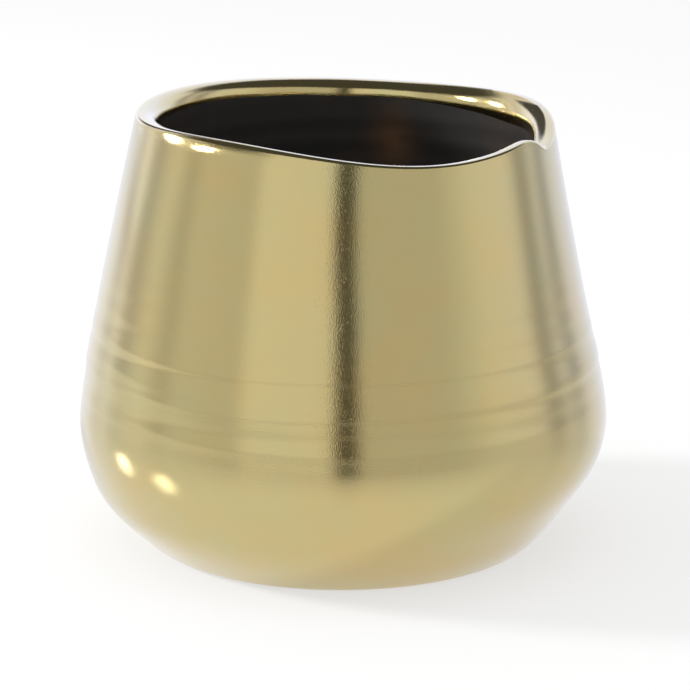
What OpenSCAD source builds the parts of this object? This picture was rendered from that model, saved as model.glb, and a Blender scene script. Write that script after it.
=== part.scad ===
// A round-bellied planter pot. A thick stoneware body carries a thin satin brass coat
// over its outside and its lip, a dark glaze inside, and felt pads under its foot ring.
// The pads stand on z = 0, the belly is centred on the Z axis, and -Y is the front.

/* [Outer shape] */
// Widest diameter, at the belly
belly_d = 180; // [150:1:220]
// Height of the belly above the foot
belly_h = 41.5; // [30:0.5:55]
// Diameter of the foot, where the pot meets the pads
foot_d = 132.5; // [100:0.5:160]
// Outside diameter at the rim
mouth_d = 139; // [110:0.5:170]
// Mean height of the rim above the foot
pot_h = 145.2; // [115:0.1:180]
// Height over which the belly turns into the straight tapered wall
belly_turn = 7.5; // [5:0.1:20]

/* [Wall and lip] */
// Thickness of the wall, square to its surface
wall_t = 6; // [4:0.1:9]
// Thickness of the floor above the foot plane
floor_t = 7; // [5:0.1:12]
// Radius of the round between the wall and the floor inside
floor_round = 10; // [4:0.5:15]
// Height over which the lip rounds down inside, where the brass ends
lip_drop = 5.5; // [3:0.1:9]
// How much thicker the wall is at the lip than below it, all on the inside
lip_swell = 2.4; // [0:0.1:4]
// Depth below the lip over which that extra thickness fades
lip_reach = 20; // [10:0.5:40]
// Radius of the lip's outer edge
lip_edge = 1.2; // [0.6:0.1:2]

/* [Foot ring] */
// Width of the foot ring
foot_w = 15; // [10:0.5:20]
// Depth of the hollow inside the foot ring
foot_hollow = 1.5; // [0.5:0.1:3]
// Softening of the foot's outer edge
foot_edge = 1.2; // [0.6:0.1:2]

/* [Finishes] */
// Thickness drawn for the brass coat
coat_t = 0.35; // [0.2:0.05:0.5]
// Thickness of the interior glaze
glaze_t = 0.45; // [0.2:0.05:0.5]

/* [Felt pads] */
// Diameter of a felt pad
pad_d = 12; // [6:0.5:16]
// Thickness of a felt pad
pad_t = 1; // [0.5:0.1:3]

/* [Quality] */
// Facets round the pot
facets = 72; // [48:4:96]

/* [Hidden] */

// The rim was trimmed by hand, so it rises and falls on the way round.
// Each wave has its lobes, its rise in mm and the heading of its first crest.
RIM_WAVES = [[1, 2.7, 115], [2, 1.6, 17], [3, 1.4, 2], [4, 0.4, -19]];
// The rim dips at one side of the front, steeply on one flank and slowly on the other.
DIP_HEADING = 338.7;
DIP_DEPTH = 6.1;
DIP_STEEP = 6.3;
DIP_SLOW = 30.5;

// The wall drifted sideways as it was thrown.
// Each swell has its height above the foot, its spread and its shift along X.
DRIFTS = [[15.5, 9.5, -1.7], [47.5, 18, 0.6], [152, 30, 1]];

PADS = 4;
FIRST_PAD_HEADING = 45;
PAD_FACETS = 48;

// The lip's inner round is nearly flat on top and turns late. 1 would make it an ellipse.
LIP_ROUND = 0.8;

// Rings of points along each stretch of the section
EDGE_RINGS = 2;
LOW_RINGS = 7;
HIGH_RINGS = 9;
LIP_OUT_RINGS = 3;
LIP_IN_RINGS = 5;
INNER_RINGS = 14;
FLOOR_RINGS = 5;
// Rings of the high wall crowd towards the belly, where it curves most.
RING_CROWDING = 1.5;
// The ring where the brass stops and the glaze starts
LIP_RING = EDGE_RINGS + LOW_RINGS + HIGH_RINGS + LIP_OUT_RINGS + LIP_IN_RINGS;

belly_r = belly_d / 2;
foot_r = foot_d / 2;
mouth_r = mouth_d / 2;
foot_mid_r = foot_r - foot_edge - foot_w / 2;
foot_inner_r = foot_r - foot_edge - foot_w;
high_h = pot_h - belly_h;

// Section of the finished pot, as radius against height above the foot.
// The low wall is a parabola, and the high wall a straight taper rounded into the belly.
function low_r(z) = belly_r - (belly_r - foot_r) * pow((belly_h - z) / belly_h, 2);
function turned(rise) = sqrt(belly_turn * belly_turn + rise * rise) - belly_turn;
function high_r(z) = belly_r - (belly_r - mouth_r) * turned(z - belly_h) / turned(high_h);
function wall_r(z) = z < belly_h ? low_r(z) : high_r(z);

SLOPE_STEP = 0.5;
function wall_slope(z) =
    (wall_r(z + SLOPE_STEP) - wall_r(z - SLOPE_STEP)) / (2 * SLOPE_STEP);
function inner_r(z) = wall_r(z) - wall_t * sqrt(1 + pow(wall_slope(z), 2));
// The inside at a height, where the wall thickens towards the end of the brass at edge_z
function swollen_r(z, edge_z) = inner_r(z) - lip_swell * exp(-pow((edge_z - z) / lip_reach, 2));

function sum(list) = [for (x = list) 1] * list;
function wave(heading) = sum([for (w = RIM_WAVES) w[1] * cos(w[0] * (heading - w[2]))]);
function turn_from_dip(heading) = (heading - DIP_HEADING + 540) % 360 - 180;
function dip(heading) =
    let (away = turn_from_dip(heading), spread = away < 0 ? DIP_STEEP : DIP_SLOW)
    DIP_DEPTH * exp(-pow(away / spread, 2));
function rim_h(heading) = pot_h + wave(heading) - dip(heading);

function swell(z) = sum([for (d = DRIFTS) d[2] * exp(-pow((z - d[0]) / d[1], 2))]);
function drift(z) = swell(z) - swell(belly_h);

// A quadratic bend from one point to another, pulled towards a corner
function bend(from, corner, to, t) =
    (1 - t) * (1 - t) * from + 2 * t * (1 - t) * corner + t * t * to;

function foot_edge_points() = [for (k = [0:EDGE_RINGS])
    bend([foot_r - foot_edge, 0], [foot_r, 0], [wall_r(foot_edge), foot_edge],
         k / EDGE_RINGS)];
function low_wall_points() = [for (k = [1:LOW_RINGS])
    let (z = foot_edge + k / LOW_RINGS * (belly_h - foot_edge)) [wall_r(z), z]];
function high_wall_points(rim) = [for (k = [1:HIGH_RINGS])
    let (z = belly_h + pow(k / HIGH_RINGS, RING_CROWDING) * (rim - lip_edge - belly_h))
    [wall_r(z), z]];
function lip_points(rim) =
    let (crest_r = wall_r(rim - lip_edge) - lip_edge, low = rim - lip_drop,
         across = crest_r - swollen_r(low, low))
    [for (k = [1:LIP_OUT_RINGS]) let (turn = 90 * k / LIP_OUT_RINGS)
         [crest_r + lip_edge * cos(turn), rim - lip_edge + lip_edge * sin(turn)],
     for (k = [1:LIP_IN_RINGS]) let (turn = 90 * k / LIP_IN_RINGS)
         [crest_r - across * pow(sin(turn), LIP_ROUND),
          low + lip_drop * pow(cos(turn), LIP_ROUND)]];
function inner_wall_points(rim) =
    let (top = rim - lip_drop, bottom = floor_t + floor_round)
    [for (k = [1:INNER_RINGS])
        let (z = top + k / INNER_RINGS * (bottom - top)) [swollen_r(z, top), z]];
function floor_points() =
    let (wall_end = [inner_r(floor_t + floor_round), floor_t + floor_round],
         corner = [inner_r(floor_t), floor_t],
         floor_end = [inner_r(floor_t) - floor_round, floor_t])
    [for (k = [1:FLOOR_RINGS]) bend(wall_end, corner, floor_end, k / FLOOR_RINGS)];

// The finished surface at one heading: up the outside, over the lip and down to the floor
function finished(rim) = concat(foot_edge_points(), low_wall_points(),
                                high_wall_points(rim), lip_points(rim),
                                inner_wall_points(rim), floor_points());

// The way out of the surface at point i, level at the foot plane and upright on the floor
function outward(path, i) =
    i == 0 ? [1, 0]
    : i == len(path) - 1 ? [0, 1]
    : let (along = path[i + 1] - path[i - 1]) [along[1], -along[0]] / norm(along);

// The stoneware's own surface, under the coat as far as the lip and under the glaze after it
function bare(path) = [for (i = [0:len(path) - 1])
    path[i] - (i <= LIP_RING ? coat_t : glaze_t) * outward(path, i)];

// The stoneware's underside, from the middle out to the foot ring
function underside() = [[foot_inner_r - foot_hollow, foot_hollow],
                        [foot_inner_r - foot_hollow / 2, foot_hollow],
                        [foot_inner_r, 0]];

HEADINGS = [for (k = [0:facets - 1]) 360 * k / facets];
FINISHED = [for (heading = HEADINGS) finished(rim_h(heading))];
BARE = [for (path = FINISHED) bare(path)];
LAST_RING = len(FINISHED[0]) - 1;

// The sections turned into rings of points: ring i holds point i of every section
function placed(point, heading) =
    [point[0] * cos(heading) + drift(point[1]), point[0] * sin(heading), point[1] + pad_t];
function rings(sections, from, to) =
    [for (i = [from:(to < from ? -1 : 1):to], j = [0:facets - 1])
        placed(sections[j][i], HEADINGS[j])];

// Triangles between rings i and i + 1, or between any two rings. Where two nodes share
// a surface, the one that runs through it backwards takes the other diagonal.
function strip(i, next, backwards) = [for (j = [0:facets - 1])
    let (beside = (j + 1) % facets, a = i * facets + j, b = i * facets + beside,
         c = next * facets + beside, d = next * facets + j)
    each backwards ? [[a, d, b], [d, c, b]] : [[a, d, c], [a, c, b]]];
function cap_below(i) = [for (j = [0:facets - 1]) i * facets + j];
function cap_above(i) = [for (j = [facets - 1:-1:0]) i * facets + j];

module stoneware_body() {
    under = underside();
    under_rings = len(under);
    count = under_rings + LAST_RING + 1;
    points = concat(rings([for (heading = HEADINGS) under], 0, under_rings - 1),
                    rings(BARE, 0, LAST_RING));
    faces = concat([cap_below(0)],
                   [for (i = [0:count - 2]) each strip(i, i + 1, false)],
                   [cap_above(count - 1)]);
    color("#b7a58a") polyhedron(points, faces);
}

module brass_coat() {
    side = LIP_RING + 1;
    points = concat(rings(FINISHED, 0, LIP_RING), rings(BARE, LIP_RING, 0));
    faces = [for (i = [0:2 * side - 1]) each strip(i, (i + 1) % (2 * side), i >= side)];
    color("#c8b176") polyhedron(points, faces);
}

module interior_glaze() {
    side = LAST_RING - LIP_RING + 1;
    points = concat(rings(BARE, LAST_RING, LIP_RING), rings(FINISHED, LIP_RING, LAST_RING));
    faces = concat([cap_below(0)],
                   [for (i = [0:2 * side - 2]) each strip(i, i + 1, i < side - 1)],
                   [cap_above(2 * side - 1)]);
    color("#241d19") polyhedron(points, faces);
}

// Pads sit on the middle of the foot ring, evenly round it.
module felt_pad(index) {
    heading = FIRST_PAD_HEADING + (index - 1) * 360 / PADS;
    color("#5b544c")
        translate([drift(0) + foot_mid_r * cos(heading), foot_mid_r * sin(heading), 0])
            cylinder(d = pad_d, h = pad_t, $fn = PAD_FACETS);
}

stoneware_body();
brass_coat();
interior_glaze();
felt_pad(1);  // felt_pad_1
felt_pad(2);  // felt_pad_2
felt_pad(3);  // felt_pad_3
felt_pad(4);  // felt_pad_4
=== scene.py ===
"""The looks of the hand-thrown planter pot: a stoneware pot with a satin brass coat.

The three layers are turned true on the lathe from one section, and then one function
gives them all the marks of the hand: the trimmed rim, the drift of the wall and the
ridges that the fingers left. Sizes are in millimetres, from the foot of the pot up.
"""
import math

import bmesh
import bpy
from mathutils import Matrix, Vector, noise


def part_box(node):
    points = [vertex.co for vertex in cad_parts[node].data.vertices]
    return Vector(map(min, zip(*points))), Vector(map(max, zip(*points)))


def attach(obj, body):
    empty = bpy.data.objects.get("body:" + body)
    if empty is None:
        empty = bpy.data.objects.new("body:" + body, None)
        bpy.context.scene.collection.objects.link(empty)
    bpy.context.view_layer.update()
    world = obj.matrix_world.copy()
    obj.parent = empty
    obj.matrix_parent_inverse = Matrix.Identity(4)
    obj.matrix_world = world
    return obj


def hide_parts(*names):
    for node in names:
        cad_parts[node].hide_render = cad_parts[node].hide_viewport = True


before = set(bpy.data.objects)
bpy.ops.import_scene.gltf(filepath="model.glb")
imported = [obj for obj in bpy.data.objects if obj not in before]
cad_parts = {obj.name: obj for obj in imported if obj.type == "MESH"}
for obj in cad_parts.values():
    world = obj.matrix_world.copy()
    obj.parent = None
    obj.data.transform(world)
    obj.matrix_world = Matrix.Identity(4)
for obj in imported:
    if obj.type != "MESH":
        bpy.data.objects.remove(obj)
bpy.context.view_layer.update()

MM = 0.001


def box_mm(node):
    low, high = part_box(node)
    return low / MM, high / MM


# ---- sizes, from the frame where it holds them --------------------------------------

coat_low, coat_high = box_mm("brass_coat")
pad_low, pad_high = box_mm("felt_pad_1")

PAD_T = pad_high.z - pad_low.z
PAD_R = (pad_high.x - pad_low.x) / 2
# The smooth belly is kept a hair inside the drawn one, whose facets cut its bulge
BELLY_R = (coat_high.x - coat_low.x) / 2 - 0.02
BELLY_H = 41.5
FOOT_R = 66.25
RIM_R = 69.5
RIM_H = 145.2
BELLY_TURN = 7.5
WALL = 6.0
FLOOR = 7.0
FLOOR_ROUND = 10.0
LIP_DROP = 5.5
LIP_SWELL = 2.4
LIP_REACH = 20.0
LIP_ROUND = 0.8
LIP_EDGE = 1.2
FOOT_EDGE = 1.2
FOOT_W = 15.0
FOOT_HOLLOW = 1.5
FOOT_BEVEL = 0.8
COAT = 0.35
GLAZE = 0.45
SEGMENTS = 288

# The trimmed rim: lobes, rise and heading of each wave, and one dip at the right front
RIM_WAVES = ((1, 2.7, 115), (2, 1.6, 17), (3, 1.4, 2), (4, 0.4, -19))
DIP_HEADING = 338.7
DIP_DEPTH = 6.1
DIP_STEEP = 6.3
DIP_SLOW = 30.5

# The wall's sideways drift: height, spread and shift of each swell
DRIFTS = ((15.5, 9.5, -1.7), (47.5, 18.0, 0.6), (152.0, 30.0, 1.0))

# A shallow spiral groove left by the fingers between two heights, where it fades out
GROOVE_PITCH = 8.2
GROOVE_RISE = 0.055
GROOVE_LOW = 44.0
GROOVE_HIGH = 104.0
GROOVE_FADE_LOW = 8.0
GROOVE_FADE_HIGH = 30.0

# Soft ledges left by the fingers: height, reach above, reach below and rise
LEDGES = ((52.0, 4.0, 1.4, 0.08), (63.0, 8.0, 2.3, 0.42), (74.8, 5.0, 0.9, 0.12))

# Groove and ledges wander up and down, and are stronger here and weaker there. Lobes say
# how often that changes on the way round, and tall over what height it changes
WANDER_RISE = 0.9
WANDER_LOBES = 1.3
WANDER_TALL = 30.0
STRENGTH_SWING = 0.45
STRENGTH_LOBES = 1.6
STRENGTH_TALL = 14.0
STRENGTH_SEED = 4.0

# Slow lumps of the wall, and the spiral inside, which grows from the end of the brass
LUMP_SIZE = 34.0
LUMP_RISE = 0.2
OUTER_SEED = 3.7
INNER_SEED = 9.1
INNER_PITCH = 9.0
INNER_RISE = 0.22
INNER_FADE = 8.0

# Over these lengths the marks fade out towards the belly's widest line, the foot and the
# middle of the floor, and the inner ones start this far above the floor
BELLY_CALM = 8.0
FOOT_CALM = 6.0
FLOOR_CALM = 40.0
FLOOR_CLEAR = 1.0

# Shares of the wall's thickness, from the outside in: outer marks fade out before the
# middle and inner marks grow from it, each over the span, and the end of the brass is
# moved where it lies deeper than the inner side
MARKS_MIDDLE = 0.7
MARKS_SPAN = 0.5
INNER_SIDE = 0.5

# A finger's dent inside: heading, height, half width, half height and depth
DENT = (71.0, 123.8, 6.0, 1.7, 0.7)

# The lip is rounded over further at the left of the front: heading, spread, reach, fall
SOFT_HEADING = 233.0
SOFT_SPREAD = 24.0
SOFT_REACH = 5.5
SOFT_FALL = 1.7
SOFT_POWER = 2.5

# The brass runs further down inside at one place, and its edge wanders everywhere
RUN_HEADING = 29.0
RUN_SPREAD = 26.0
RUN_DEPTH = 3.2
EDGE_WANDER = 0.7
EDGE_LOBES = 2.6
EDGE_SEED = 7.7
RUN_FADE = 30.0

# Lengths between the rings of a mesh: fine where it shows, coarse where it is hidden
BRASS_STEP = 0.85
BRASS_LIP = (8, 14)
LINING_STEP = 1.6
LINING_FLOOR_STEP = 6.0
UNDER_BRASS_STEP = 4.0
UNDER_BRASS_LIP = (4, 6)
UNDER_LINING_STEP = 6.0
UNDER_LINING_FLOOR_STEP = 12.0
FOOT_STEP = 2.0


# ---- small sums ---------------------------------------------------------------------

def clamped(value):
    """The value, held between 0 and 1."""
    return min(1.0, max(0.0, value))


def hump(distance, spread):
    """A smooth hump, 1 in its middle, that falls away over its spread."""
    return math.exp(-(distance / spread) ** 2)


def turn_between(heading, other):
    """The shorter way round to a heading from another one, in degrees."""
    return (heading - other + 180) % 360 - 180


# ---- the section of the pot ---------------------------------------------------------

def turned_in(rise):
    """How far the high wall has come in at a rise above the belly, before scaling."""
    return math.hypot(BELLY_TURN, rise) - BELLY_TURN


def wall_radius(height):
    """Outer radius of the finished pot: a parabola under the belly, a taper over it."""
    if height < BELLY_H:
        return BELLY_R - (BELLY_R - FOOT_R) * ((BELLY_H - height) / BELLY_H) ** 2
    share = turned_in(height - BELLY_H) / turned_in(RIM_H - BELLY_H)
    return BELLY_R - (BELLY_R - RIM_R) * share


def inner_radius(height):
    """Radius of the inside, where the wall thickens below the end of the brass."""
    slope = wall_radius(height + 0.5) - wall_radius(height - 0.5)
    swell = LIP_SWELL * hump(RIM_H - LIP_DROP - height, LIP_REACH)
    return wall_radius(height) - WALL * math.hypot(1, slope) - swell


def spaced(start, end, step):
    """Values from start to end, both included, about a step apart."""
    count = max(1, round(abs(end - start) / step))
    return [start + (end - start) * k / count for k in range(count + 1)]


def bend(start, corner, end, count):
    """Points after start on a quadratic bend that is pulled towards a corner."""
    points = []
    for k in range(1, count + 1):
        t = k / count
        points.append(tuple((1 - t) ** 2 * a + 2 * t * (1 - t) * b + t * t * c
                            for a, b, c in zip(start, corner, end)))
    return points


def outside(step):
    """Up the outside, from under the foot's edge to where the lip starts to turn."""
    top = RIM_H - LIP_EDGE
    foot = (FOOT_R - FOOT_EDGE, 0.0)
    edge = (wall_radius(FOOT_EDGE), FOOT_EDGE)
    return ([foot] + bend(foot, (FOOT_R, 0.0), edge, count=5)
            + [(wall_radius(h), h) for h in spaced(FOOT_EDGE, top, step)[1:]])


def lip(outer_count, inner_count):
    """Over the lip and down inside to where the brass ends."""
    crest_r = wall_radius(RIM_H - LIP_EDGE) - LIP_EDGE
    low = RIM_H - LIP_DROP
    fall_r = crest_r - inner_radius(low)
    points = []
    for k in range(1, outer_count + 1):
        angle = math.radians(90 * k / outer_count)
        points.append((crest_r + LIP_EDGE * math.cos(angle),
                       RIM_H - LIP_EDGE + LIP_EDGE * math.sin(angle)))
    for k in range(1, inner_count + 1):
        angle = math.radians(90 * k / inner_count)
        points.append((crest_r - fall_r * math.sin(angle) ** LIP_ROUND,
                       low + LIP_DROP * math.cos(angle) ** LIP_ROUND))
    return points


def inside(step, floor_step):
    """Down the inner wall from the brass's edge, round on to the floor, to its middle."""
    start = FLOOR + FLOOR_ROUND
    wall = [(inner_radius(h), h) for h in spaced(RIM_H - LIP_DROP, start, step)]
    floor_end = inner_radius(FLOOR) - FLOOR_ROUND
    corner = bend(wall[-1], (inner_radius(FLOOR), FLOOR), (floor_end, FLOOR), count=8)
    return wall + corner + [(r, FLOOR) for r in spaced(floor_end, 0, floor_step)[1:]]


def sunk(points, depth):
    """The same line, moved into the wall by a depth square to itself."""
    moved = []
    for k, (r, h) in enumerate(points):
        before = points[max(k - 1, 0)]
        after = points[min(k + 1, len(points) - 1)]
        along_r = after[0] - before[0]
        along_h = after[1] - before[1]
        length = math.hypot(along_r, along_h)
        moved.append((max(r - depth * along_h / length, 0.0), h + depth * along_r / length))
    return moved


def under_brass():
    """The line between the coat and the stoneware, from the foot to the coat's end."""
    return sunk(outside(UNDER_BRASS_STEP) + lip(*UNDER_BRASS_LIP), COAT)


def under_lining():
    """The line between the glaze and the stoneware, down to the middle of the floor."""
    line = sunk(inside(UNDER_LINING_STEP, UNDER_LINING_FLOOR_STEP), GLAZE)
    line[-1] = (0.0, FLOOR - GLAZE)
    return line


# ---- the marks of the hand ----------------------------------------------------------

def rim_height(heading):
    """Height of the trimmed rim at a heading, with its slow waves and its dip."""
    height = RIM_H + sum(rise * math.cos(math.radians(lobes * (heading - crest)))
                         for lobes, rise, crest in RIM_WAVES)
    away = turn_between(heading, DIP_HEADING)
    return height - DIP_DEPTH * hump(away, DIP_STEEP if away < 0 else DIP_SLOW)


def drift(height):
    """How far the wall's middle has wandered to the right of the belly's."""
    def swell(h):
        return sum(shift * hump(h - middle, spread) for middle, spread, shift in DRIFTS)
    return swell(height) - swell(BELLY_H)


def lumps(place, seed):
    """Slow unevenness of a hand-thrown wall, between about -1 and 1."""
    return noise.noise(place / LUMP_SIZE + Vector((seed, seed, seed)))


def ledge(height, edge, above, below):
    """A swell with a crisp edge along its underside, 1 at the edge."""
    away = height - edge
    return hump(away, above) if away > 0 else math.exp(away / below)


def outer_relief(place, heading, height):
    """How far the outside stands proud of its true section. The belly keeps its width."""
    around = math.radians(heading)
    ring = Vector((math.cos(around), math.sin(around), 0))
    wander = WANDER_RISE * noise.noise(WANDER_LOBES * ring
                                       + Vector((0, 0, height / WANDER_TALL)))
    patch = STRENGTH_LOBES * ring + Vector((STRENGTH_SEED, STRENGTH_SEED,
                                            height / STRENGTH_TALL))
    strength = 1 + STRENGTH_SWING * noise.noise(patch)
    zone = min(clamped((height - GROOVE_LOW) / GROOVE_FADE_LOW),
               clamped((GROOVE_HIGH - height) / GROOVE_FADE_HIGH))
    turns = (height + wander) / GROOVE_PITCH + heading / 360
    relief = zone * strength * GROOVE_RISE * math.cos(math.tau * turns)
    for edge, above, below, rise in LEDGES:
        relief += strength * rise * ledge(height + wander, edge, above, below)
    relief += LUMP_RISE * lumps(place, OUTER_SEED)
    return relief * (1 - hump(height - BELLY_H, BELLY_CALM))


def inner_relief(place, heading, height):
    """How far the inside stands proud of its true section, towards the axis."""
    turns = height / INNER_PITCH + heading / 360
    relief = INNER_RISE * math.cos(math.tau * turns) + LUMP_RISE * lumps(place, INNER_SEED)
    relief *= clamped((RIM_H - LIP_DROP - height) / INNER_FADE)
    middle, level, width, tall, depth = DENT
    across = math.radians(turn_between(heading, middle)) * math.hypot(place.x, place.y)
    return relief - depth * hump(across, width) * hump(height - level, tall)


def brass_run(heading, drop):
    """How much lower the inner lip's points lie, at a drop below the rim."""
    around = math.radians(heading)
    wander = noise.noise(Vector((EDGE_LOBES * math.cos(around),
                                 EDGE_LOBES * math.sin(around), EDGE_SEED)))
    run = RUN_DEPTH * hump(turn_between(heading, RUN_HEADING), RUN_SPREAD)
    grown = clamped(drop / LIP_DROP) ** 0.5
    left = clamped(1 - (drop - LIP_DROP) / RUN_FADE)
    return grown * left * (run + EDGE_WANDER * wander)


def shaped_by_hand(bm):
    """Moves a truly turned mesh in millimetres to where the potter's hands left it."""
    for vert in bm.verts:
        radius = math.hypot(vert.co.x, vert.co.y)
        around = math.atan2(vert.co.y, vert.co.x)
        heading = math.degrees(around)
        height = vert.co.z
        depth = (wall_radius(height) - radius) / WALL
        rim = rim_height(heading)
        true_height = height
        if height > BELLY_H:
            height = BELLY_H + (height - BELLY_H) * (rim - BELLY_H) / (RIM_H - BELLY_H)
        drop = rim - height
        if depth > INNER_SIDE:
            height -= brass_run(heading, drop)
        radius += wall_radius(height) - wall_radius(true_height)
        place = Vector((radius * math.cos(around), radius * math.sin(around), height))
        outward = clamped((MARKS_MIDDLE - depth) / MARKS_SPAN)
        inward = clamped((depth - MARKS_MIDDLE) / MARKS_SPAN) * min(1.0, radius / FLOOR_CALM)
        raised = outward * min(1.0, height / FOOT_CALM)
        radius += raised * outer_relief(place, heading, height)
        if drop < SOFT_REACH:
            rounding = outward * hump(turn_between(heading, SOFT_HEADING), SOFT_SPREAD)
            nearness = 1 - max(drop, 0.0) / SOFT_REACH
            radius -= rounding * SOFT_FALL * nearness ** SOFT_POWER
        if height > FLOOR + FLOOR_CLEAR:
            radius -= inward * inner_relief(place, heading, height)
        vert.co.x = radius * math.cos(around) + drift(height)
        vert.co.y = radius * math.sin(around)
        vert.co.z = height + PAD_T


# ---- pieces -------------------------------------------------------------------------

# Edges that turn by more than this stay crisp
SHARP_ANGLE = math.radians(42)
# Points of a spun mesh that are nearer than this are one
SAME_POINT = 0.001


def new_object(name, bm, material):
    """An object at the origin that takes over the mesh and wears the material."""
    mesh = bpy.data.meshes.new(name)
    bm.to_mesh(mesh)
    bm.free()
    mesh.materials.append(material)
    thing = bpy.data.objects.new(name, mesh)
    bpy.context.scene.collection.objects.link(thing)
    return thing


def make_piece(name, bm, material, node):
    """Turns a mesh in millimetres into a finished piece that stands for a CAD node."""
    bmesh.ops.scale(bm, vec=(MM, MM, MM), verts=bm.verts)
    bmesh.ops.recalc_face_normals(bm, faces=bm.faces)
    for face in bm.faces:
        face.smooth = True
    for edge in bm.edges:
        edge.smooth = len(edge.link_faces) == 2 and edge.calc_face_angle() < SHARP_ANGLE
    piece = new_object(name, bm, material)
    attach(piece, "root")
    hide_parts(node)
    return piece


def turn(section, closed):
    """Spins a section of (radius, height) points all the way round the axis."""
    bm = bmesh.new()
    verts = [bm.verts.new((r, 0, h)) for r, h in section]
    pairs = list(zip(verts, verts[1:])) + ([(verts[-1], verts[0])] if closed else [])
    edges = [bm.edges.new(pair) for pair in pairs]
    bmesh.ops.spin(bm, geom=verts + edges, cent=(0, 0, 0), axis=(0, 0, 1),
                   angle=math.tau, steps=SEGMENTS, use_merge=True)
    bmesh.ops.remove_doubles(bm, verts=bm.verts, dist=SAME_POINT)
    return bm


def brass_coat(material):
    """The coat, from under the foot's edge, over the lip and down inside to its end."""
    face = outside(BRASS_STEP) + lip(*BRASS_LIP)
    back = under_brass()
    back[0] = (face[0][0] - COAT, 0.0)
    bm = turn(face + back[::-1], closed=True)
    shaped_by_hand(bm)
    piece = make_piece("brass_skin", bm, material, "brass_coat")


def glaze_lining(material):
    """The glaze, from the end of the brass down the wall and over the floor."""
    face = inside(LINING_STEP, LINING_FLOOR_STEP)
    bm = turn(face + under_lining()[::-1], closed=False)
    shaped_by_hand(bm)
    piece = make_piece("glaze_lining", bm, material, "interior_glaze")


def stoneware(material):
    """The thrown body, bare on its foot ring and in the hollow within the ring."""
    ring_in = FOOT_R - FOOT_EDGE - FOOT_W
    ring_out = FOOT_R - FOOT_EDGE - COAT
    hollow_r = ring_in - FOOT_HOLLOW / 2
    under = [(r, FOOT_HOLLOW) for r in spaced(0, hollow_r - FOOT_BEVEL, FOOT_STEP)]
    under += bend(under[-1], (hollow_r, FOOT_HOLLOW), (ring_in, FOOT_BEVEL), count=4)
    under += bend(under[-1], (ring_in, 0.0), (ring_in + FOOT_BEVEL, 0.0), count=4)
    under += [(r, 0.0) for r in spaced(ring_in + FOOT_BEVEL, ring_out, FOOT_STEP)[1:]]
    bm = turn(under + under_brass()[1:] + under_lining()[1:], closed=False)
    shaped_by_hand(bm)
    piece = make_piece("thrown_body", bm, material, "stoneware_body")


# A pad's pressed edge, the rings inset in its faces, and how deep, how finely and from
# what share of its radius out it is frayed
PAD_EDGE = 0.25
PAD_RINGS = 3
PAD_RING_W = 1.3
FRAY = 0.12
FRAY_PER_MM = 1.7
FRAYED_FROM = 0.8


def felt_pad(node, material):
    """A pad cut from pressed felt: a soft-edged disc with a slightly frayed rim."""
    low, high = box_mm(node)
    bm = bmesh.new()
    bmesh.ops.create_cone(bm, cap_ends=True, segments=64, radius1=PAD_R, radius2=PAD_R,
                          depth=high.z - low.z)
    rim_edges = [e for e in bm.edges if abs(e.verts[0].co.z - e.verts[1].co.z) < 0.01]
    bmesh.ops.bevel(bm, geom=rim_edges, offset=PAD_EDGE, segments=3, profile=0.5,
                    affect="EDGES", material=-1)
    caps = [f for f in bm.faces if len(f.verts) > 4]
    for _ in range(PAD_RINGS):
        bmesh.ops.inset_individual(bm, faces=caps, thickness=PAD_RING_W)
    for vert in bm.verts:
        frayed = FRAY * noise.noise(vert.co * FRAY_PER_MM + Vector((low.x, low.y, 0)))
        across = Vector((vert.co.x, vert.co.y, 0))
        if across.length > PAD_R * FRAYED_FROM:
            vert.co -= across.normalized() * (FRAY + frayed)
    bmesh.ops.translate(bm, vec=(low + high) / 2, verts=bm.verts)
    piece = make_piece(node + "_cut", bm, material, node)


# ---- materials ----------------------------------------------------------------------

def linear(hex_colour):
    """An sRGB hex colour as linear RGBA."""
    parts = [int(hex_colour[k:k + 2], 16) / 255 for k in (1, 3, 5)]
    return tuple(c / 12.92 if c <= 0.04045 else ((c + 0.055) / 1.055) ** 2.4
                 for c in parts) + (1.0,)


def per_mm(size):
    """The texture scale at which a pattern's features are this many millimetres."""
    return 1 / (size * MM)


def add(tree, kind, values=None, links=None, **settings):
    """Adds a node, sets its attributes and inputs, and links its inputs to sockets."""
    node = tree.nodes.new(kind)
    for key, value in settings.items():
        setattr(node, key, value)
    for key, value in (values or {}).items():
        node.inputs[key].default_value = value
    for key, socket in (links or {}).items():
        tree.links.new(socket, node.inputs[key])
    return node


def start_material(name):
    """A material with its surface shader and the place on the piece to hang patterns on."""
    material = bpy.data.materials.new(name)
    material.use_nodes = True
    tree = material.node_tree
    tree.nodes.clear()
    surface = add(tree, "ShaderNodeBsdfPrincipled")
    output = add(tree, "ShaderNodeOutputMaterial")
    tree.links.new(surface.outputs["BSDF"], output.inputs["Surface"])
    place = add(tree, "ShaderNodeTexCoord").outputs["Object"]
    return material, tree, surface, place


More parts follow.
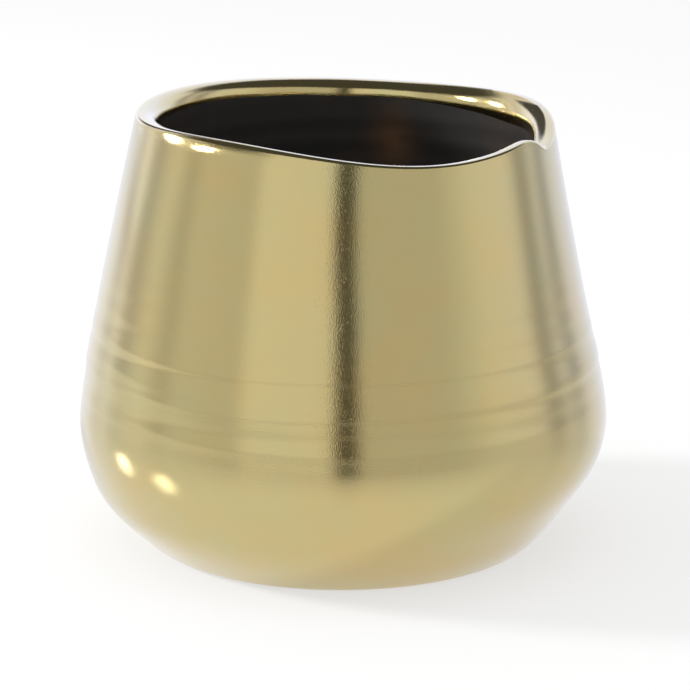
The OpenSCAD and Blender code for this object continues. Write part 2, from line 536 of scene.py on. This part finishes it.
def satin_brass():
    """Brass lustre fired over a glaze, then lacquered.

    The glaze under it gives the metal a fine orange-peel grain that scatters the edges of
    reflections, with a pit here and there, and the wheel left faint level lines. The film
    varies between a warm and a greenish gold. The lacquer turns pale seen edge on.
    """
    material, tree, surface, place = start_material("lacquered_brass_lustre")
    surface.inputs["Metallic"].default_value = 1.0
    surface.inputs["Coat Weight"].default_value = 1.0
    surface.inputs["Coat Roughness"].default_value = 0.10
    surface.inputs["Coat IOR"].default_value = 1.75
    cloud = add(tree, "ShaderNodeTexNoise", {"Scale": per_mm(26), "Detail": 3.0,
                                             "Roughness": 0.55}, {"Vector": place})
    tone = add(tree, "ShaderNodeValToRGB", links={"Fac": cloud.outputs["Fac"]})
    tone.color_ramp.elements[0].position = 0.34
    tone.color_ramp.elements[0].color = linear("#C7B97A")
    tone.color_ramp.elements[1].position = 0.66
    tone.color_ramp.elements[1].color = linear("#CEB672")
    tree.links.new(tone.outputs["Color"], surface.inputs["Base Color"])

    level = add(tree, "ShaderNodeMapping", {"Scale": (1, 1, 14)}, {"Vector": place})
    rubbing = add(tree, "ShaderNodeTexNoise", {"Scale": per_mm(14), "Detail": 4.0,
                                               "Roughness": 0.6},
                  {"Vector": level.outputs["Vector"]})
    gloss = add(tree, "ShaderNodeMapRange", {"From Min": 0.3, "From Max": 0.7,
                                             "To Min": 0.10, "To Max": 0.13},
                {"Value": rubbing.outputs["Fac"]})
    tree.links.new(gloss.outputs["Result"], surface.inputs["Roughness"])

    peel = add(tree, "ShaderNodeTexNoise", {"Scale": per_mm(0.42), "Detail": 1.0},
               {"Vector": place})
    pits = add(tree, "ShaderNodeTexVoronoi", {"Scale": per_mm(1.6)}, {"Vector": place})
    pit = add(tree, "ShaderNodeMapRange", {"From Max": 0.16},
              {"Value": pits.outputs["Distance"]}, interpolation_type="SMOOTHSTEP")
    lines = add(tree, "ShaderNodeBump", {"Strength": 1.0, "Distance": 0.002 * MM},
                {"Height": rubbing.outputs["Fac"]})
    grain = add(tree, "ShaderNodeBump", {"Strength": 1.0, "Distance": 0.025 * MM},
                {"Height": peel.outputs["Fac"], "Normal": lines.outputs["Normal"]})
    pitted = add(tree, "ShaderNodeBump", {"Strength": 1.0, "Distance": 0.02 * MM},
                 {"Height": pit.outputs["Result"], "Normal": grain.outputs["Normal"]})
    tree.links.new(pitted.outputs["Normal"], surface.inputs["Normal"])
    tree.links.new(pitted.outputs["Normal"], surface.inputs["Coat Normal"])
    return material


# A painted reflection, a warm brown glow painted into the glaze's colour on the inner wall:
# heading, height, half width and half height of the patch
PAINTED_REFLECTION_HEADING = 74.0
PAINTED_REFLECTION_HEIGHT = 124.0
PAINTED_REFLECTION_WIDTH = 15.0
PAINTED_REFLECTION_TALL = 26.0


def tenmoku_glaze():
    """A thick iron glaze fired glossy: near black with faint runs of tone, and a brown patch
    of painted reflection on the inner wall.
    """
    material, tree, surface, place = start_material("iron_black_glaze")
    surface.inputs["Roughness"].default_value = 0.2
    surface.inputs["IOR"].default_value = 1.52
    runs = add(tree, "ShaderNodeMapping", {"Scale": (1, 1, 0.3)}, {"Vector": place})
    thin = add(tree, "ShaderNodeTexNoise", {"Scale": per_mm(16), "Detail": 3.0},
               {"Vector": runs.outputs["Vector"]})
    # Where the painted reflection sits on the inner wall
    around = math.radians(PAINTED_REFLECTION_HEADING)
    wall = inner_radius(PAINTED_REFLECTION_HEIGHT)
    middle = (wall * math.cos(around) * MM, wall * math.sin(around) * MM,
              (PAINTED_REFLECTION_HEIGHT + PAD_T) * MM)
    patch = add(tree, "ShaderNodeMapping", {"Location": middle, "Scale":
                (PAINTED_REFLECTION_WIDTH * MM, PAINTED_REFLECTION_WIDTH * MM, PAINTED_REFLECTION_TALL * MM)}, {"Vector": place},
                vector_type="TEXTURE")
    near = add(tree, "ShaderNodeTexGradient", links={"Vector": patch.outputs["Vector"]},
               gradient_type="QUADRATIC_SPHERE")
    base = add(tree, "ShaderNodeValToRGB", links={"Fac": thin.outputs["Fac"]})
    base.color_ramp.elements[0].position = 0.40
    base.color_ramp.elements[0].color = linear("#343332")
    base.color_ramp.elements[1].position = 0.80
    base.color_ramp.elements[1].color = linear("#3C3530")
    # Painted reflection: inside the patch the colour turns to a warm brown that stands in for
    # a reflection, not for the glaze
    tone = add(tree, "ShaderNodeMixRGB", {"Color2": linear("#6A4E37")},
               {"Fac": near.outputs["Fac"], "Color1": base.outputs["Color"]})
    tree.links.new(tone.outputs["Color"], surface.inputs["Base Color"])
    ripple = add(tree, "ShaderNodeTexNoise", {"Scale": per_mm(5), "Detail": 2.0},
                 {"Vector": place})
    bump = add(tree, "ShaderNodeBump", {"Strength": 0.3, "Distance": 0.15 * MM},
               {"Height": ripple.outputs["Fac"]})
    tree.links.new(bump.outputs["Normal"], surface.inputs["Normal"])
    return material


def bare_stoneware():
    """Iron-flecked stoneware clay, fired bare and wiped smooth: matt and slightly gritty."""
    material, tree, surface, place = start_material("bare_stoneware")
    surface.inputs["Roughness"].default_value = 0.85
    flecks = add(tree, "ShaderNodeTexNoise", {"Scale": per_mm(0.9), "Detail": 4.0},
                 {"Vector": place})
    tone = add(tree, "ShaderNodeValToRGB", links={"Fac": flecks.outputs["Fac"]})
    tone.color_ramp.elements[0].position = 0.30
    tone.color_ramp.elements[0].color = linear("#6E5B45")
    tone.color_ramp.elements[1].position = 0.42
    tone.color_ramp.elements[1].color = linear("#B9A688")
    tree.links.new(tone.outputs["Color"], surface.inputs["Base Color"])
    bump = add(tree, "ShaderNodeBump", {"Strength": 0.6, "Distance": 0.12 * MM},
               {"Height": flecks.outputs["Fac"]})
    tree.links.new(bump.outputs["Normal"], surface.inputs["Normal"])
    return material


def pressed_felt():
    """Pressed wool felt in charcoal: matt fibres with a soft edge glow."""
    material, tree, surface, place = start_material("charcoal_felt")
    surface.inputs["Roughness"].default_value = 0.95
    surface.inputs["Sheen Weight"].default_value = 0.4
    fibres = add(tree, "ShaderNodeTexNoise", {"Scale": per_mm(0.5), "Detail": 5.0,
                                              "Distortion": 1.5}, {"Vector": place})
    tone = add(tree, "ShaderNodeValToRGB", links={"Fac": fibres.outputs["Fac"]})
    tone.color_ramp.elements[0].color = linear("#2E2A27")
    tone.color_ramp.elements[1].color = linear("#6B645C")
    tree.links.new(tone.outputs["Color"], surface.inputs["Base Color"])
    bump = add(tree, "ShaderNodeBump", {"Strength": 0.8, "Distance": 0.15 * MM},
               {"Height": fibres.outputs["Fac"]})
    tree.links.new(bump.outputs["Normal"], surface.inputs["Normal"])
    return material


# ---- the studio ---------------------------------------------------------------------

# White cards round the pot: direction in degrees right of the camera's side, brightness
CARDS = ((-180, 1.05), (-146, 1.19), (-140, 0.92), (-134, 0.78), (-130, 0.99), (-125, 1.06),
         (-120, 0.70), (-114, 0.59), (-105, 0.79), (-99, 0.87), (-86, 0.60), (-78, 0.76),
         (-47, 0.71), (-41, 0.94), (-5, 0.90), (-2.5, 0.07), (5, 0.08), (7.5, 0.66),
         (48, 0.66), (57, 0.74), (70, 0.87), (92, 0.88), (98, 0.74), (102, 0.47), (108, 0.47),
         (113, 0.73), (118, 0.68), (122, 0.50), (127, 0.52), (132, 0.85), (139, 1.03))
# The brightness straight behind the pot, reached from its right
BACK_RIGHT = 1.04
# The cards behind the pot carry cool daylight: where it starts and ends, and how blue
COOL_RIGHT = (60.0, 125.0, 0.30)
COOL_LEFT = (-100.0, -140.0, 0.16)
# Cool light gains this much green for its blue
GREEN_OF_BLUE = 0.18
# Elevations where the cards end and the dark ceiling starts, and the ceiling's brightness
CARDS_TOP = 34
CEILING_FROM = 44
CEILING = 0.08
# What lights matt things, and the plain pale ground behind the pot
DOME = 1.08
BACKDROP = 0.99
# Lamps low at the left: direction, elevation, half width, half height and brightness
LAMPS = ((-86, 26.0, 4.5, 6.0, 25.0), (-110, 19.5, 3.5, 5.0, 25.0))
# A lamp's or flag's effect starts at one share of its half width and is full at the other
LAMP_RIM = 1.2
LAMP_FULL = 0.8
# A black flag behind them takes light away, which darkens the right end of the lip
FLAG = (-160, 26.0, 14.0, 11.0, -1.3)
# No part of the room above the table is darker than this
DARKEST = 0.08


def card_light(direction, brightness):
    """A card's colour: white in front, and cooler the further behind the pot it stands."""
    start, end, blue = COOL_RIGHT if direction > 0 else COOL_LEFT
    cool = blue * clamped((direction - start) / (end - start))
    return (brightness, brightness * (1 + GREEN_OF_BLUE * cool), brightness * (1 + cool), 1)


def build_world():
    """The metal sees cards, lamps, a flag and a dark ceiling; matt things see a dome."""
    world = bpy.data.worlds.new("studio")
    bpy.context.scene.world = world
    world.use_nodes = True
    world.cycles.sampling_method = "NONE"
    tree = world.node_tree
    tree.nodes.clear()
    seen = add(tree, "ShaderNodeTexCoord").outputs["Generated"]
    axes = add(tree, "ShaderNodeSeparateXYZ", links={"Vector": seen})
    back = add(tree, "ShaderNodeMath", {1: -1.0}, {0: axes.outputs["Y"]},
               operation="MULTIPLY")
    around = add(tree, "ShaderNodeMath", links={0: axes.outputs["X"], 1: back.outputs[0]},
                 operation="ARCTAN2")
    share = add(tree, "ShaderNodeMapRange", {"From Min": -math.pi, "From Max": math.pi},
                {"Value": around.outputs[0]})
    cards = add(tree, "ShaderNodeValToRGB", links={"Fac": share.outputs["Result"]})
    ramp = cards.color_ramp
    for k, (direction, brightness) in enumerate(CARDS):
        position = (direction + 180) / 360
        stop = ramp.elements[0] if k == 0 else ramp.elements.new(position)
        stop.position = position
        stop.color = card_light(direction, brightness)
    ramp.elements[-1].position = 1.0
    ramp.elements[-1].color = card_light(180, BACK_RIGHT)
    up = add(tree, "ShaderNodeMath", links={0: axes.outputs["Z"]}, operation="ARCSINE")
    above = add(tree, "ShaderNodeMapRange", {"From Min": math.radians(CARDS_TOP),
                                             "From Max": math.radians(CEILING_FROM)},
                {"Value": up.outputs[0]}, interpolation_type="SMOOTHSTEP")
    room = add(tree, "ShaderNodeMixRGB", {"Color2": (CEILING, CEILING, CEILING, 1)},
               {"Fac": above.outputs["Result"], "Color1": cards.outputs["Color"]})
    light = room.outputs["Color"]
    for direction, elevation, half_width, half_height, brightness in LAMPS + (FLAG,):
        across = add(tree, "ShaderNodeMapRange",
                     {"From Min": math.radians(direction),
                      "From Max": math.radians(direction + half_width)},
                     {"Value": around.outputs[0]}, clamp=False)
        upright = add(tree, "ShaderNodeMapRange",
                      {"From Min": math.radians(elevation),
                       "From Max": math.radians(elevation + half_height)},
                      {"Value": up.outputs[0]}, clamp=False)
        away = add(tree, "ShaderNodeCombineXYZ", links={"X": across.outputs[0],
                                                        "Y": upright.outputs[0]})
        distance = add(tree, "ShaderNodeVectorMath", links={0: away.outputs[0]},
                       operation="LENGTH")
        glow = add(tree, "ShaderNodeMapRange", {"From Min": LAMP_RIM, "From Max": LAMP_FULL,
                                                "To Max": brightness},
                   {"Value": distance.outputs["Value"]}, interpolation_type="SMOOTHSTEP")
        total = add(tree, "ShaderNodeVectorMath", links={0: light, 1: glow.outputs[0]},
                    operation="ADD")
        light = total.outputs["Vector"]
    whole = add(tree, "ShaderNodeVectorMath", {1: (DARKEST, DARKEST, DARKEST)}, {0: light},
                operation="MAXIMUM")
    path = add(tree, "ShaderNodeLightPath")
    studio = add(tree, "ShaderNodeBackground", links={"Color": whole.outputs["Vector"]})
    dome = add(tree, "ShaderNodeBackground", {"Color": (DOME, DOME, DOME, 1)})
    backdrop = add(tree, "ShaderNodeBackground",
                   {"Color": (BACKDROP, BACKDROP, BACKDROP, 1)})
    lit = add(tree, "ShaderNodeMixShader", links={0: path.outputs["Is Glossy Ray"],
                                                  1: dome.outputs[0], 2: studio.outputs[0]})
    shown = add(tree, "ShaderNodeMixShader", links={0: path.outputs["Is Camera Ray"],
                                                    1: lit.outputs[0], 2: backdrop.outputs[0]})
    output = add(tree, "ShaderNodeOutputWorld")
    tree.links.new(shown.outputs[0], output.inputs["Surface"])


FLOOR_RADIUS = 4.0
# How bright the table glows to the camera
FLOOR_GLOW = (0.62, 0.62, 0.62, 1)
# In the metal the table is darker, but for the light that the pot throws round its foot
FLOOR_GLOW_FAR = (0.485, 0.485, 0.50, 1)
FLOOR_GLOW_NEAR = (0.70, 0.675, 0.65, 1)
THROWN_LIGHT = 300.0
FLOOR_ALBEDO = 0.28
FLOOR_IOR = 1.35


def build_floor():
    """A white acrylic table, lit from under itself: even, with a faint soft shadow.

    Its polish shows only in what the metal reflects, so the plain floor stays plain.
    """
    material = bpy.data.materials.new("white_acrylic_table")
    material.use_nodes = True
    tree = material.node_tree
    tree.nodes.clear()
    matt = add(tree, "ShaderNodeBsdfDiffuse", {"Color": (FLOOR_ALBEDO,) * 3 + (1,)})
    path = add(tree, "ShaderNodeLightPath")
    place = add(tree, "ShaderNodeTexCoord").outputs["Object"]
    spread = add(tree, "ShaderNodeMapping", {"Scale": (per_mm(THROWN_LIGHT),) * 3},
                 {"Vector": place})
    near = add(tree, "ShaderNodeTexGradient", links={"Vector": spread.outputs["Vector"]},
               gradient_type="QUADRATIC_SPHERE")
    mirrored = add(tree, "ShaderNodeMixRGB", {"Color1": FLOOR_GLOW_FAR,
                                              "Color2": FLOOR_GLOW_NEAR},
                   {"Fac": near.outputs["Fac"]})
    tint = add(tree, "ShaderNodeMixRGB", {"Color1": FLOOR_GLOW},
               {"Fac": path.outputs["Is Glossy Ray"], "Color2": mirrored.outputs["Color"]})
    glow = add(tree, "ShaderNodeEmission", links={"Color": tint.outputs["Color"]})
    lit = add(tree, "ShaderNodeAddShader", links={0: matt.outputs[0], 1: glow.outputs[0]})
    polish = add(tree, "ShaderNodeBsdfGlossy", {"Roughness": 0.04})
    edge_on = add(tree, "ShaderNodeFresnel", {"IOR": FLOOR_IOR})
    share = add(tree, "ShaderNodeMath", links={0: edge_on.outputs[0],
                                               1: path.outputs["Is Glossy Ray"]},
                operation="MULTIPLY")
    mixed = add(tree, "ShaderNodeMixShader", links={0: share.outputs[0], 1: lit.outputs[0],
                                                    2: polish.outputs[0]})
    output = add(tree, "ShaderNodeOutputMaterial")
    tree.links.new(mixed.outputs[0], output.inputs["Surface"])
    bm = bmesh.new()
    bmesh.ops.create_circle(bm, cap_ends=True, segments=96, radius=FLOOR_RADIUS)
    new_object("tabletop", bm, material)


# The key lamp: degrees right of the camera's side and up, metres off and across, power
KEY_DIRECTION = -96
KEY_UP = 22
KEY_DISTANCE = 1.6
KEY_SIZE = 0.35
KEY_WATTS = 30


def build_key():
    """The lamps' light on matt things: it brightens the table at the left of the pot."""
    data = bpy.data.lights.new("key", "AREA")
    data.shape = "DISK"
    data.size = KEY_SIZE
    data.energy = KEY_WATTS
    key = bpy.data.objects.new("key", data)
    bpy.context.scene.collection.objects.link(key)
    across = math.radians(KEY_DIRECTION)
    up = math.radians(KEY_UP)
    towards = Vector((math.sin(across) * math.cos(up), -math.cos(across) * math.cos(up),
                      math.sin(up)))
    key.location = towards * KEY_DISTANCE
    key.rotation_euler = towards.to_track_quat("Z", "Y").to_euler()
    key.visible_camera = False
    key.visible_glossy = False


CAMERA_PLACE = (-0.57, -880.0, 295.4)
CAMERA_TARGET = (0.62, -1.65, 66.46)
CAMERA_SENSOR = 36.0
CAMERA_LENS = 138.97
NEAREST_SEEN = 0.01


def place_camera():
    """A long lens about 0.91 m from the pot, turned down by some 15 degrees."""
    data = bpy.data.cameras.new("camera")
    data.sensor_width = CAMERA_SENSOR
    data.lens = CAMERA_LENS
    data.clip_start = NEAREST_SEEN
    camera = bpy.data.objects.new("camera", data)
    bpy.context.scene.collection.objects.link(camera)
    camera.location = Vector(CAMERA_PLACE) * MM
    target = Vector(CAMERA_TARGET) * MM
    camera.rotation_euler = (target - camera.location).to_track_quat("-Z", "Y").to_euler()
    bpy.context.scene.camera = camera


place_camera()
build_world()
build_floor()
build_key()
bpy.context.scene.view_settings.view_transform = "Standard"

brass_coat(satin_brass())
glaze_lining(tenmoku_glaze())
stoneware(bare_stoneware())
felt = pressed_felt()
for pad_number in (1, 2, 3, 4):
    felt_pad(f"felt_pad_{pad_number}", felt)
